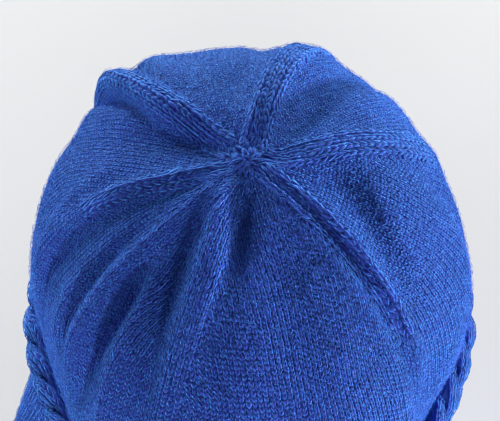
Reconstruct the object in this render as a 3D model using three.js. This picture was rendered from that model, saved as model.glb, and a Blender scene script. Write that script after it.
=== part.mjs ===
// Knitted earflap hat: a crown of seven gores gathered to a closing point, a plaited band
// and two earflaps. Millimetres, +Z up, the wearer faces -Y and the origin is the centre of
// the head opening, level with the lower edge of the band.
import * as THREE from 'three';

// ---- driving dimensions -------------------------------------------------------------
const CROWN_HALF_WIDTH = 80.5;
const CROWN_FRONT_REACH = 97;
const CROWN_BACK_REACH = 93;
const TEMPLE_ROUNDNESS = 1.55;
const FOREHEAD_ROUNDNESS = 2.05;
const BACK_ROUNDNESS = 2.3;
const WIDEST_LINE_Y = 5;
const WIDEST_LEVEL = 50;
const DOME_HEIGHT = 61;
const DOME_ROUNDNESS = 2.08;
const CLOSING_POINT_BACK = 17.3;
const CLOSING_POINT_SIDE = -0.6;
const KNIT_WALL = 2.5;

const BAND_HEIGHT = 31.4;
const BAND_INSET = 3.5;
const BAND_PROUD = 6.5;
const BAND_TOP_PROUD = 3.5;
const PLAIT_LOBES = 39;
const PLAIT_RELIEF = 1.1;
const PIECE_GAP = 0.3;
const CROWN_JOIN_INSET = 1;

const FLAP_WALL = 3.2;
const FLAP_LENGTH = 84;
const FLAP_TOP_WIDTH = 106;
const FLAP_TIP_WIDTH = 62;
const FLAP_ROUND_START = 0.55;
const FLAP_TOP_PROUD = 1.2;

// ---- mesh fineness ------------------------------------------------------------------
const COLUMN_DEGREES = 3.75;
const DOME_ROWS = [4, 9, 15, 22, 30, 38, 46, 54, 62, 70, 78, 86];
const SKIRT_ROWS = [0.25, 0.6, 1];
const BAND_STEPS_PER_LOBE = 3;
const FLAP_ROWS = 12;
const FLAP_COLUMNS = 12;

// ---- folds --------------------------------------------------------------------------
// Every ridge and hollow runs outward from the closing point. A row gives its azimuth and
// its height at each station, the half width of its rounded section, and for a few rows how
// far the cloth stands out where it joins the band.
const FOLD_STATIONS = [0, 12, 25, 40, 60, 80];
const STATION_LIMIT = 100;

const decreaseRidges = [
  { name: 'right back', azimuth: [10, 14, 19, 22, 27, 29], height: [0, 2.2, 3.2, 3.2, 2, 0],
    width: 7 },
  { name: 'back', azimuth: [77, 76.5, 75.5, 73.5, 71.5, 71.5], height: [0, 2.6, 3.7, 3.7, 2.2, 0.8],
    width: 7.6 },
  { name: 'left back', azimuth: [138, 137, 135.5, 132.6, 129, 128], height: [0, 3, 4.8, 6.2, 6.8, 4.6],
    width: 5.6 },
  { name: 'left', azimuth: [196, 194, 188, 185, 186, 187], height: [0, 2, 3, 3, 1.6, 0],
    width: 5 },
  { name: 'left front', azimuth: [228, 224, 220.5, 216.5, 215, 217], height: [0, 2.6, 5, 6, 5, 1.2],
    width: 5.8 },
  { name: 'front', azimuth: [252, 250, 250, 249, 248.5, 248], height: [0, 2.8, 3.2, 2.6, 0.6, 0.2],
    width: 6.4 },
  { name: 'right front', azimuth: [324, 323, 322.5, 322, 320, 318], height: [0, 0, 0, 0, 0, 0],
    width: 5 },
];

const panelFolds = [
  { name: 'right front upper lip', azimuth: [330, 326, 325.4, 323.2, 321.5, 321.5],
    height: [0, 1.6, 2.8, 3.2, 1.6, 0], width: 4.6 },
  { name: 'right front lower lip', azimuth: [314, 315, 315, 313, 313, 313],
    height: [0, 0.1, 0.5, 0.6, 0.5, 0.3], width: 3 },
  { name: 'right front channel', azimuth: [324, 323, 321.5, 320.5, 319, 317.5],
    height: [0, -0.8, -2.6, -3, -2, -0.4], width: 3.4 },
  { name: 'back left hollow', azimuth: [95, 95, 96, 96, 96, 96],
    height: [0, -1, -2.5, -1, 0, 0], width: 6 },
  { name: 'back right hollow', azimuth: [50, 50, 52, 54, 54, 52],
    height: [0, -4.4, -6.2, -5, -3.2, -1], width: 7 },
  { name: 'right hollow', azimuth: [364, 359, 350, 335.5, 332, 334],
    height: [0, -1, -3.2, -2.2, -0.4, 0], width: 7.5 },
  { name: 'right fold', azimuth: [364, 364, 364, 364, 362, 352],
    height: [0, 0, 0, 0.8, 1.5, 0.3], width: 6 },
  { name: 'right fold hollow', azimuth: [14, 14, 14, 14, 14, 8],
    height: [0, 0, 0, 0, -1.8, -0.6], width: 4.5 },
  { name: 'front right hollow', azimuth: [264, 264, 262, 261, 261, 261],
    height: [0, -4.6, -0.4, -0.2, 0, 0], width: 4.8 },
  { name: 'front gore sag', azimuth: [287, 287, 288, 290, 291, 291],
    height: [0, -0.8, -2.6, -2, 1.4, 0.6], width: 12 },
  { name: 'front left hollow', azimuth: [226, 228, 235, 240, 242.5, 243],
    height: [0, -2, -4.4, -3.8, -2.4, -0.6], width: 5 },
  { name: 'second front ridge', azimuth: [229, 229, 229, 230.5, 232.5, 233.5],
    height: [0, 0, 0, 3.4, 4.2, 1.4], width: 4.8 },
  { name: 'left front hollow', azimuth: [223, 223, 223, 223, 221, 221],
    height: [0, 0, -2, -7.4, -7, -1.5], width: 4.6 },
  { name: 'left front crease', azimuth: [209, 209, 209, 209, 210, 210],
    height: [0, 0, -0.5, -2, -2.4, -0.6], width: 3.4 },
  { name: 'second left ridge', azimuth: [203, 203, 203, 203, 204.5, 205],
    height: [0, 0, 0.5, 1.9, 3, 0.6], width: 4.8 },
  { name: 'left groove', azimuth: [212, 202, 194.5, 192, 190, 192],
    height: [0, -1.8, -3.4, -1.4, -5.2, -1.2], width: 3 },
  { name: 'outer left ridge', azimuth: [172, 172, 172, 173, 183, 188],
    height: [0, 0, 0, 1.4, 2.2, 0.4], width: 5 },
  { name: 'left back hollow', azimuth: [146, 147, 152, 151, 146, 143],
    height: [0, -4.6, -4.6, -2.6, -1.2, -2], width: 8.5 },
  { name: 'left tuck', azimuth: [200, 200, 200, 200, 200, 200],
    height: [0, 0, 0, 0, 0, -3.6], width: 26, join: -0.8 },
  { name: 'right back tuck', azimuth: [35, 35, 35, 35, 35, 35],
    height: [0, 0, 0, 0, -2, -3.4], width: 22 },
  { name: 'right tuck', azimuth: [352, 352, 352, 352, 352, 352],
    height: [0, 0, 0, 0, 0, 0], width: 15, join: 2.6 },
  { name: 'right front tuck', azimuth: [323, 323, 323, 323, 323, 323],
    height: [0, 0, 0, 0, 0, -3.4], width: 15, join: -1.8 },
  { name: 'back tuck', azimuth: [88, 88, 88, 88, 88, 88],
    height: [0, 0, 0, 0, -1.2, -1.6], width: 24 },
  { name: 'back left swell', azimuth: [120, 120, 120, 120, 117, 114],
    height: [0, 0, 0.3, 2.2, 2.4, 1.6], width: 7 },
  { name: 'back dip', azimuth: [104, 104, 104, 104, 104, 104],
    height: [0, 0, 0, 0, -1, 0], width: 7 },
  { name: 'ridge dip', azimuth: [86, 86, 86, 86, 86, 86],
    height: [0, 0, 0, -0.8, -2, -0.6], width: 5 },
  { name: 'back flat', azimuth: [62, 62, 62, 62, 62, 62],
    height: [0, 0, 0, 0.4, -1.4, -0.8], width: 6 },
  { name: 'right back swell', azimuth: [50, 50, 50, 50, 50, 50],
    height: [0, 0, 0, 0, 0.4, 0.6], width: 5 },
  { name: 'left back crease', azimuth: [146, 146, 143, 137.4, 133.4, 132.5],
    height: [0, -2, -2.6, -6.8, -8, -3], width: 3 },
];

const earflaps = [
  { name: 'earflap_left', middleAzimuth: 176, flare: 24, flareToFront: 17 },
  { name: 'earflap_right', middleAzimuth: 4, flare: -3, flareToFront: 0 },
];

// ---- yarn ---------------------------------------------------------------------------
function makeYarn(color) {
  return new THREE.MeshStandardMaterial({ color, roughness: 0.95, metalness: 0 });
}

const crownYarn = makeYarn(0x2748a8);
const bandYarn = makeYarn(0x2a4fb4);
const flapYarn = makeYarn(0x24439c);

// ---- shape of the head line ---------------------------------------------------------
const radians = THREE.MathUtils.degToRad;

// Distance from the middle of the widest line to the crown's side, by azimuth in degrees.
function planRadius(azimuth) {
  const across = Math.abs(Math.cos(radians(azimuth)));
  const along = Math.sin(radians(azimuth));
  const forehead = THREE.MathUtils.lerp(TEMPLE_ROUNDNESS, FOREHEAD_ROUNDNESS, along ** 4);
  const reach = along < 0 ? CROWN_FRONT_REACH : CROWN_BACK_REACH;
  const roundness = along < 0 ? forehead : BACK_ROUNDNESS;
  const sum = (across / CROWN_HALF_WIDTH) ** roundness + (Math.abs(along) / reach) ** roundness;
  return sum ** (-1 / roundness);
}

function planPoint(azimuth, radius, level) {
  const x = radius * Math.cos(radians(azimuth));
  const y = radius * Math.sin(radians(azimuth)) + WIDEST_LINE_Y;
  return new THREE.Vector3(x, y, level);
}

// Value of a station row at an angle down from the closing point, smoothly joined.
function valueAt(row, down) {
  const stations = [...FOLD_STATIONS, STATION_LIMIT];
  const values = [...row, row[row.length - 1]];
  let i = 0;
  while (i < stations.length - 2 && down > stations[i + 1]) {
    i += 1;
  }
  const t = THREE.MathUtils.clamp((down - stations[i]) / (stations[i + 1] - stations[i]), 0, 1);
  const before = values[Math.max(i - 1, 0)];
  const after = values[Math.min(i + 2, values.length - 1)];
  const startBend = 2 * values[i] - values[i + 1] - before;
  const endBend = 2 * values[i + 1] - values[i] - after;
  return THREE.MathUtils.lerp(values[i], values[i + 1], t)
    + 0.5 * t * (1 - t) * (startBend * (1 - t) + endBend * t);
}

// ---- crown --------------------------------------------------------------------------
function domePoint(azimuth, down) {
  const spread = Math.sin(radians(down)) ** (2 / DOME_ROUNDNESS);
  const rise = Math.max(Math.cos(radians(down)), 0) ** (2 / DOME_ROUNDNESS);
  const lean = rise ** 1.5;
  const point = planPoint(azimuth, planRadius(azimuth) * spread, WIDEST_LEVEL + DOME_HEIGHT * rise);
  point.x += CLOSING_POINT_SIDE * lean;
  point.y += CLOSING_POINT_BACK * lean;
  return point;
}

function domeNormal(azimuth, down) {
  const step = 0.2;
  const around = domePoint(azimuth + step, down).sub(domePoint(azimuth - step, down));
  const outward = domePoint(azimuth, down + step).sub(domePoint(azimuth, down - step));
  return outward.cross(around).normalize();
}

// How far the cloth stands out from the plain dome. Down the skirt each fold gives way to its
// own amount at the band, by the share of the way down.
function foldHeight(azimuth, down, part = 0) {
  const spread = Math.sin(radians(Math.min(down, 90))) ** (2 / DOME_ROUNDNESS);
  const radius = planRadius(azimuth) * spread;
  let height = 0;
  for (const fold of [...decreaseRidges, ...panelFolds]) {
    const turn = THREE.MathUtils.euclideanModulo(azimuth - valueAt(fold.azimuth, down) + 180, 360) - 180;
    const distance = radians(turn) * radius;
    const amount = THREE.MathUtils.lerp(valueAt(fold.height, down), fold.join ?? 0, part);
    height += amount * Math.exp(-((distance / fold.width) ** 2));
  }
  return height;
}

// Azimuths of one round of the crown: columns are spread evenly between the ridges.
function roundAzimuths(down) {
  const azimuths = [];
  const start = decreaseRidges.map((ridge) => valueAt(ridge.azimuth, down));
  const settled = decreaseRidges.map((ridge) => ridge.azimuth[3]);
  for (let i = 0; i < start.length; i += 1) {
    const next = (i + 1) % start.length;
    const turn = next === 0 ? 360 : 0;
    const columns = Math.round((settled[next] + turn - settled[i]) / COLUMN_DEGREES);
    for (let c = 0; c < columns; c += 1) {
      azimuths.push(THREE.MathUtils.lerp(start[i], start[next] + turn, c / columns));
    }
  }
  return azimuths;
}

function domeRound(down, depth) {
  return roundAzimuths(down).map((azimuth) => {
    const offset = foldHeight(azimuth, down) - depth;
    return domePoint(azimuth, down).addScaledVector(domeNormal(azimuth, down), offset);
  });
}

// Below the widest level the side runs down to the band and draws in a little.
function skirtRound(part, depth) {
  const level = THREE.MathUtils.lerp(WIDEST_LEVEL, BAND_HEIGHT + PIECE_GAP, part);
  const outermost = 90;
  return roundAzimuths(outermost).map((azimuth) => {
    const fold = foldHeight(azimuth, outermost, part);
    return planPoint(azimuth, planRadius(azimuth) - CROWN_JOIN_INSET * part + fold - depth, level);
  });
}

function crownRounds(depth) {
  return [
    ...DOME_ROWS.map((down) => domeRound(down, depth)),
    skirtRound(0, depth),
    ...SKIRT_ROWS.map((part) => skirtRound(part, depth)),
  ];
}

// ---- meshes from rounds -------------------------------------------------------------
function addStrip(index, first, second, count) {
  for (let i = 0; i < count; i += 1) {
    const j = (i + 1) % count;
    index.push(first + i, second + i, second + j);
    index.push(first + i, second + j, first + j);
  }
}

function toGeometry(points, index) {
  const geometry = new THREE.BufferGeometry().setFromPoints(points);
  geometry.setIndex(index);
  geometry.computeVertexNormals();
  return geometry;
}

function makeCrown() {
  const outer = crownRounds(0);
  const inner = crownRounds(KNIT_WALL).reverse();
  const rounds = [...outer, ...inner];
  const count = outer[0].length;
  const points = rounds.flat();
  const index = [];
  for (let r = 0; r < rounds.length - 1; r += 1) {
    addStrip(index, r * count, (r + 1) * count, count);
  }
  const outerPole = points.push(domePoint(0, 0)) - 1;
  const innerPole = points.push(domePoint(0, 0).setZ(WIDEST_LEVEL + DOME_HEIGHT - KNIT_WALL)) - 1;
  const last = (rounds.length - 1) * count;
  for (let i = 0; i < count; i += 1) {
    const j = (i + 1) % count;
    index.push(outerPole, i, j);
    index.push(innerPole, last + j, last + i);
  }
  return toGeometry(points, index);
}

// ---- plaited band -------------------------------------------------------------------
// Section corners: how far each lies outside the crown's plan, its share of the band's
// height, and how much the plait's lobes push it, with the lower edge half a lobe behind.
const bandSection = [
  { proud: -BAND_INSET, level: 0.06, lobe: 0, phase: 0 },
  { proud: 0, level: 0, lobe: 0, phase: 0 },
  { proud: BAND_TOP_PROUD, level: 0, lobe: 0.5, phase: 0.5 },
  { proud: BAND_PROUD - 0.8, level: 0.2, lobe: 1, phase: 0.5 },
  { proud: BAND_PROUD, level: 0.5, lobe: 0.4, phase: 0.25 },
  { proud: BAND_PROUD - 0.8, level: 0.8, lobe: 1, phase: 0 },
  { proud: BAND_TOP_PROUD, level: 1, lobe: 0.5, phase: 0 },
  { proud: -BAND_INSET, level: 1, lobe: 0, phase: 0 },
];

function makeBand() {
  const steps = PLAIT_LOBES * BAND_STEPS_PER_LOBE;
  const points = [];
  for (const corner of bandSection) {
    for (let i = 0; i < steps; i += 1) {
      const azimuth = (360 * i) / steps;
      const wave = Math.cos(2 * Math.PI * (i / BAND_STEPS_PER_LOBE + corner.phase));
      const radius = planRadius(azimuth) + corner.proud + PLAIT_RELIEF * corner.lobe * wave;
      points.push(planPoint(azimuth, radius, corner.level * BAND_HEIGHT));
    }
  }
  const index = [];
  for (let c = 0; c < bandSection.length; c += 1) {
    const next = (c + 1) % bandSection.length;
    addStrip(index, next * steps, c * steps, steps);
  }
  return toGeometry(points, index);
}

// ---- earflaps -----------------------------------------------------------------------
// Half the width of a flap at a share of its length below the band.
function flapHalfWidth(part) {
  const straight = THREE.MathUtils.lerp(FLAP_TOP_WIDTH, FLAP_TIP_WIDTH, part) / 2;
  const round = Math.max((part - FLAP_ROUND_START) / (1 - FLAP_ROUND_START), 0);
  return straight * Math.sqrt(1 - 0.97 * round * round);
}

function flapPoint(flap, part, share, depth) {
  const halfWidth = flapHalfWidth(part);
  const halfTurn = THREE.MathUtils.radToDeg(halfWidth / planRadius(flap.middleAzimuth));
  const frontward = flap.middleAzimuth > 90 ? share : -share;
  const azimuth = flap.middleAzimuth + frontward * halfTurn;
  const flareShare = (share * halfWidth) / (FLAP_TOP_WIDTH / 2);
  const flare = (flap.flare + flap.flareToFront * flareShare) * part;
  const radius = planRadius(azimuth) + FLAP_TOP_PROUD + flare - depth;
  return planPoint(azimuth, radius, -PIECE_GAP - FLAP_LENGTH * part);
}

function makeFlap(flap) {
  const points = [];
  const width = FLAP_COLUMNS + 1;
  for (const depth of [0, FLAP_WALL]) {
    for (let row = 0; row <= FLAP_ROWS; row += 1) {
      const part = Math.sin((Math.PI / 2) * (row / FLAP_ROWS));
      for (let column = 0; column <= FLAP_COLUMNS; column += 1) {
        const share = (2 * column) / FLAP_COLUMNS - 1;
        points.push(flapPoint(flap, part, share, depth));
      }
    }
  }
  const back = (FLAP_ROWS + 1) * width;
  const quads = [];
  for (let row = 0; row < FLAP_ROWS; row += 1) {
    for (let column = 0; column < FLAP_COLUMNS; column += 1) {
      const corner = row * width + column;
      quads.push([corner, corner + width, corner + width + 1, corner + 1]);
      quads.push([back + corner, back + corner + 1, back + corner + width + 1, back + corner + width]);
    }
    const left = row * width;
    const right = left + FLAP_COLUMNS;
    quads.push([left, back + left, back + left + width, left + width]);
    quads.push([right, right + width, back + right + width, back + right]);
  }
  const tip = FLAP_ROWS * width;
  for (let column = 0; column < FLAP_COLUMNS; column += 1) {
    quads.push([column, column + 1, back + column + 1, back + column]);
    quads.push([tip + column, back + tip + column, back + tip + column + 1, tip + column + 1]);
  }
  const facesFront = flap.middleAzimuth > 90;
  const index = quads.flatMap(([a, b, c, d]) => (facesFront ? [a, b, c, a, c, d] : [a, c, b, a, d, c]));
  return toGeometry(points, index);
}

// ---- assembly -----------------------------------------------------------------------
function addPiece(group, name, geometry, material) {
  const mesh = new THREE.Mesh(geometry, material);
  mesh.name = name;
  group.add(mesh);
}

const group = new THREE.Group();
addPiece(group, 'crown', makeCrown(), crownYarn);
addPiece(group, 'plaited_band', makeBand(), bandYarn);
for (const flap of earflaps) {
  addPiece(group, flap.name, makeFlap(flap), flapYarn);
}

export default group;
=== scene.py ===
import math

import bmesh
import bpy
import numpy as np
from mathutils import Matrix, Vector


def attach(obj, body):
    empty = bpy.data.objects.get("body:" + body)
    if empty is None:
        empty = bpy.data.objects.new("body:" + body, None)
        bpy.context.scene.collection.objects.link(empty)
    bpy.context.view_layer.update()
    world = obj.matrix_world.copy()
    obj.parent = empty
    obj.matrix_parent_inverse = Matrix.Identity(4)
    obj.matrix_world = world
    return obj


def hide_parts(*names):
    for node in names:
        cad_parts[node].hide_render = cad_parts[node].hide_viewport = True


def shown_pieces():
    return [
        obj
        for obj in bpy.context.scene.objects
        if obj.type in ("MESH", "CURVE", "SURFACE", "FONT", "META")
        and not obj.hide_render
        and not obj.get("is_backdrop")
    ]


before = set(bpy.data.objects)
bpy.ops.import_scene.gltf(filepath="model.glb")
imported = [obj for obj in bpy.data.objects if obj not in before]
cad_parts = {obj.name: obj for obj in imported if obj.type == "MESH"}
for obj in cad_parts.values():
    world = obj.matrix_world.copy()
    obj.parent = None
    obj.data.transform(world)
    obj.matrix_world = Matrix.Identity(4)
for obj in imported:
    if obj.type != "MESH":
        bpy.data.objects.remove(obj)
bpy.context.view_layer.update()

mm = 0.001

# Camera.
view = {
    "elevation": 60.0,  # degrees above the horizon
    "distance": 0.4344,  # metres from the point looked at
    "target": (0.0002, 0.0177, 0.0862),
    "lens": 90.35,
    "sensor": 36.0,
}


def addToScene(name, data):
    thing = bpy.data.objects.new(name, data)
    bpy.context.scene.collection.objects.link(thing)
    return thing


def makeCamera():
    data = bpy.data.cameras.new("hatCamera")
    data.lens = view["lens"]
    data.sensor_width = view["sensor"]
    camera = addToScene("hatCamera", data)
    tilt = math.radians(view["elevation"])
    back = Vector((0, -math.cos(tilt), math.sin(tilt)))
    camera.location = Vector(view["target"]) + back * view["distance"]
    camera.rotation_euler = (-back).to_track_quat("-Z", "Y").to_euler()
    bpy.context.scene.camera = camera


makeCamera()
print("camera ready")

# Hat shape, millimetres and degrees.
hat = {
    "halfWidth": 80.5,  # widest line of the crown
    "frontReach": 97.0,
    "backReach": 93.0,
    "templeRoundness": 1.55,
    "foreheadRoundness": 2.05,
    "foreheadBlend": 4,  # how close to the front the forehead's roundness sets in
    "backRoundness": 2.3,
    "widestLineY": 5.0,
    "widestLevel": 50.0,
    "domeHeight": 61.0,
    "domeRoundness": 2.08,
    "closingBack": 17.3,  # how far the closing point sits behind the widest line
    "closingSide": -0.6,
    "closingBlend": 1.5,  # how close to the top the dome leans towards the closing point
    "joinLevel": 31.7,
    "joinInset": 1.0,
    "skirtTurn": 20.0,  # the straight side below the dome, as a stretch of the down angle
}
crownEnd = 90 + hat["skirtTurn"]  # down angle of the crown's lower edge

# Down angles at which a fold's azimuths and heights are given; the last value of each lasts.
foldStations = [0, 12, 25, 40, 60, 80, 100]


def fold(azimuth, height, width, **more):
    return {"azimuth": azimuth, "height": height, "width": width, **more}


# Ridges of paired decreases: azimuth and height by station, section width, half the strip's width
# near the closing point and at the far end, the rise of its welts, and how far down the welts last.
ridges = [
    fold([10, 14, 19, 22, 27, 29], [0, 2.2, 3.2, 3.2, 2, 0], 7,
         name="right_back", strip=5.2, wide=6.4, welt=0.22, end=62),
    fold([77, 76.5, 75.5, 73.5, 71.5, 71.5], [0, 2.6, 3.7, 3.7, 2.2, 0.8], 7.6,
         name="back", strip=5.2, wide=6.8, welt=0.65, end=70),
    fold([138, 137, 135.5, 132.6, 129, 128], [0, 3, 4.8, 6.2, 6.8, 4.6], 5.6,
         name="left_back", strip=5.8, wide=7.2, welt=0.45, end=70),
    fold([196, 194, 188, 185, 186, 187], [0, 2, 3, 3, 1.6, 0], 5,
         name="left", strip=3.8, wide=4.2, welt=0.4, end=42),
    fold([228, 224, 220.5, 216.5, 215, 217], [0, 2.6, 5, 6, 5, 1.2], 5.8,
         name="left_front", strip=3.6, wide=3.6, welt=0.1, end=30, fine=True),
    fold([252, 250, 250, 249, 248.5, 248], [0, 2.8, 3.2, 2.6, 0.6, 0.2], 6.4,
         name="front", strip=5.4, wide=6, welt=0.55, end=40, fine=True),
    fold([324, 323, 322.5, 322, 320, 318], [0, 0, 0, 0, 0, 0], 5,
         name="right_front", strip=4.2, wide=4.0, welt=0.2, end=56),
]

# Folds of the cloth between the ridges; join is a fold's height at the join with the band.
folds = {
    "rightFrontUpperLip": fold([330, 326, 325.4, 323.2, 321.5, 321.5], [0, 1.6, 2.8, 3.2, 1.6, 0], 4.6),
    "rightFrontLowerLip": fold([314, 315, 315, 313, 313, 313], [0, 0.1, 0.5, 0.6, 0.5, 0.3], 3),
    "rightFrontChannel": fold([324, 323, 321.5, 320.5, 319, 317.5], [0, -0.8, -2.6, -3, -2, -0.4], 3.4),
    "backLeftHollow": fold([95, 95, 96, 96, 96, 96], [0, -1, -2.5, -1, 0, 0], 6),
    "backRightHollow": fold([50, 50, 52, 54, 54, 52], [0, -4.4, -6.2, -5, -3.2, -1], 7),
    "rightHollow": fold([364, 359, 350, 335.5, 332, 334], [0, -1, -3.2, -2.2, -0.4, 0], 7.5),
    "rightFold": fold([364, 364, 364, 364, 362, 352], [0, 0, 0, 0.8, 1.5, 0.3], 6),
    "rightFoldHollow": fold([14, 14, 14, 14, 14, 8], [0, 0, 0, 0, -1.8, -0.6], 4.5),
    "frontRightHollow": fold([264, 264, 262, 261, 261, 261], [0, -4.6, -0.4, -0.2, 0, 0], 4.8),
    "frontGoreSag": fold([287, 287, 288, 290, 291, 291], [0, -0.8, -2.6, -2, 1.4, 0.6], 12),
    "frontLeftHollow": fold([226, 228, 235, 240, 242.5, 243], [0, -2, -4.4, -3.8, -2.4, -0.6], 5),
    "secondFrontRidge": fold([229, 229, 229, 230.5, 232.5, 233.5], [0, 0, 0, 3.4, 4.2, 1.4], 4.8),
    "leftFrontHollow": fold([223, 223, 223, 223, 221, 221], [0, 0, -2, -7.4, -7, -1.5], 4.6),
    "leftFrontCrease": fold([209, 209, 209, 209, 210, 210], [0, 0, -0.5, -2, -2.4, -0.6], 3.4),
    "secondLeftRidge": fold([203, 203, 203, 203, 204.5, 205], [0, 0, 0.5, 1.9, 3, 0.6], 4.8),
    "leftGroove": fold([212, 202, 194.5, 192, 190, 192], [0, -1.8, -3.4, -1.4, -5.2, -1.2], 3),
    "outerLeftRidge": fold([172, 172, 172, 173, 183, 188], [0, 0, 0, 1.4, 2.2, 0.4], 5),
    "leftBackHollow": fold([146, 147, 152, 151, 146, 143], [0, -4.6, -4.6, -2.6, -1.2, -2], 8.5),
    "leftTuck": fold([200] * 6, [0, 0, 0, 0, 0, -3.6], 26, join=-0.8),
    "rightBackTuck": fold([35] * 6, [0, 0, 0, 0, -2, -3.4], 22),
    "rightTuck": fold([352] * 6, [0, 0, 0, 0, 0, 0], 15, join=2.6),
    "rightFrontTuck": fold([323] * 6, [0, 0, 0, 0, 0, -3.4], 15, join=-1.8),
    "backTuck": fold([88] * 6, [0, 0, 0, 0, -1.2, -1.6], 24),
    "backLeftSwell": fold([120, 120, 120, 120, 117, 114], [0, 0, 0.3, 2.2, 2.4, 1.6], 7),
    "backDip": fold([104] * 6, [0, 0, 0, 0, -1, 0], 7),
    "ridgeDip": fold([86] * 6, [0, 0, 0, -0.8, -2, -0.6], 5),
    "backFlat": fold([62] * 6, [0, 0, 0, 0.4, -1.4, -0.8], 6),
    "rightBackSwell": fold([50] * 6, [0, 0, 0, 0, 0.4, 0.6], 5),
    "leftBackCrease": fold([146, 146, 143, 137.4, 133.4, 132.5], [0, -2, -2.6, -6.8, -8, -3], 3),
}

# Section of a ridge's strip; the places of its welts and grooves are shares of its half width.
strip = {
    "widensFrom": 15,  # down angle where the strip starts to widen
    "widensOver": 35,
    "startsOver": 10,
    "endsOver": 12,
    "weltAt": 0.68,
    "weltWidth": 1.7,
    "weltRise": 0.7,
    "troughWidth": 0.3,
    "troughDepth": 0.5,
    "grooveAt": 1.15,
    "grooveWidth": 1.6,
    "grooveDepth": 0.5,
}


def planRadius(azimuth):
    across = np.abs(np.cos(np.radians(azimuth))) / hat["halfWidth"]
    along = np.sin(np.radians(azimuth))
    change = hat["foreheadRoundness"] - hat["templeRoundness"]
    forehead = hat["templeRoundness"] + change * along ** hat["foreheadBlend"]
    roundness = np.where(along < 0, forehead, hat["backRoundness"])
    reach = np.where(along < 0, hat["frontReach"], hat["backReach"])
    return (across ** roundness + (np.abs(along) / reach) ** roundness) ** (-1 / roundness)


def planPoint(azimuth, radius, level):
    x = radius * np.cos(np.radians(azimuth))
    y = radius * np.sin(np.radians(azimuth)) + hat["widestLineY"]
    return np.stack([x, y, level + 0 * x], axis=-1)


# Value of a station row at a down angle, joined smoothly from station to station.
def stationValue(row, down):
    values = np.array([*row, row[-1]], float)
    stations = np.array(foldStations, float)
    i = np.clip(np.searchsorted(stations, down, side="right") - 1, 0, len(stations) - 2)
    t = np.clip((down - stations[i]) / (stations[i + 1] - stations[i]), 0, 1)
    start, stop = values[i], values[i + 1]
    before = values[np.maximum(i - 1, 0)]
    after = values[np.minimum(i + 2, len(values) - 1)]
    bend = (2 * start - stop - before) * (1 - t) + (2 * stop - start - after) * t
    return start + (stop - start) * t + 0.5 * t * (1 - t) * bend


def domePoint(azimuth, down):
    spread = np.sin(np.radians(down)) ** (2 / hat["domeRoundness"])
    rise = np.maximum(np.cos(np.radians(down)), 0) ** (2 / hat["domeRoundness"])
    level = hat["widestLevel"] + hat["domeHeight"] * rise
    point = planPoint(azimuth, planRadius(azimuth) * spread, level)
    lean = rise ** hat["closingBlend"]
    point[..., 0] += hat["closingSide"] * lean
    point[..., 1] += hat["closingBack"] * lean
    return point


def unit(vectors):
    return vectors / np.maximum(np.linalg.norm(vectors, axis=-1, keepdims=True), 1e-9)


# Outward direction of a face given by azimuth and down angle, measured over one step each way.
def faceNormal(face, azimuth, down, step):
    around = face(azimuth + step, down) - face(azimuth - step, down)
    outward = face(azimuth, down + step) - face(azimuth, down - step)
    return unit(np.cross(outward, around))


def domeNormal(azimuth, down):
    step = 0.2
    return faceNormal(domePoint, azimuth, np.clip(down, step, 90 - step), step)


def stripWidth(ridge, down):
    widening = np.clip((down - strip["widensFrom"]) / strip["widensOver"], 0, 1)
    return ridge["strip"] + (ridge["wide"] - ridge["strip"]) * widening


def bell(distance, width):
    return np.exp(-((distance / width) ** 2))


# How far the cloth stands out from the plain dome; join is the share of the way down the straight side.
def foldHeight(azimuth, down, join):
    reach = np.sin(np.radians(np.minimum(down, 90))) ** (2 / hat["domeRoundness"]) * planRadius(azimuth)
    total = np.zeros(np.broadcast(azimuth, down).shape)
    for crease in [*ridges, *folds.values()]:
        turn = (azimuth - stationValue(crease["azimuth"], down) + 180) % 360 - 180
        distance = np.radians(turn) * reach
        height = stationValue(crease["height"], down) * (1 - join) + crease.get("join", 0.0) * join
        total = total + height * bell(distance, crease["width"])
        if "welt" in crease:
            starting = np.clip(down / strip["startsOver"], 0, 1)
            lasting = np.clip((crease["end"] - down) / strip["endsOver"], 0, 1) * starting
            half = stripWidth(crease, down)
            beside = np.abs(distance)
            welt = strip["weltRise"] * bell(beside - strip["weltAt"] * half, strip["weltWidth"])
            trough = strip["troughDepth"] * bell(distance, strip["troughWidth"] * half)
            groove = strip["grooveDepth"] * bell(beside - strip["grooveAt"] * half, strip["grooveWidth"])
            total = total + crease["welt"] * lasting * (welt - trough - groove)
    return total


# Point of the crown's outer face; the down angle goes from 0 at the closing point to 90 at the widest
# level, then on through the skirt turn to the join with the band.
def crownPoint(azimuth, down, lift=0.0):
    azimuth, down = np.broadcast_arrays(np.asarray(azimuth, float), np.asarray(down, float))
    part = np.clip((down - 90) / hat["skirtTurn"], 0, 1)
    top = np.minimum(down, 90)
    height = foldHeight(azimuth, top, part) + lift
    dome = domePoint(azimuth, top) + domeNormal(azimuth, top) * height[..., None]
    level = hat["widestLevel"] + (hat["joinLevel"] - hat["widestLevel"]) * part
    skirt = planPoint(azimuth, planRadius(azimuth) - hat["joinInset"] * part + height, level)
    return np.where((down > 90)[..., None], skirt, dome)


# Mesh helpers.
def makeMesh(name, points, quads):
    mesh = bpy.data.meshes.new(name)
    mesh.vertices.add(len(points))
    mesh.vertices.foreach_set("co", np.asarray(points, np.float32).ravel() * mm)
    quads = np.asarray(quads, np.int32)
    mesh.loops.add(quads.size)
    mesh.loops.foreach_set("vertex_index", quads.ravel())
    mesh.polygons.add(len(quads))
    mesh.polygons.foreach_set("loop_start", np.arange(len(quads), dtype=np.int32) * quads.shape[1])
    mesh.polygons.foreach_set("use_smooth", np.ones(len(quads), bool))
    mesh.update(calc_edges=True)
    mesh.validate()
    return mesh


def addObject(name, mesh, material=None):
    if material:
        mesh.materials.clear()
        mesh.materials.append(material)
    return addToScene(name, mesh)


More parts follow.
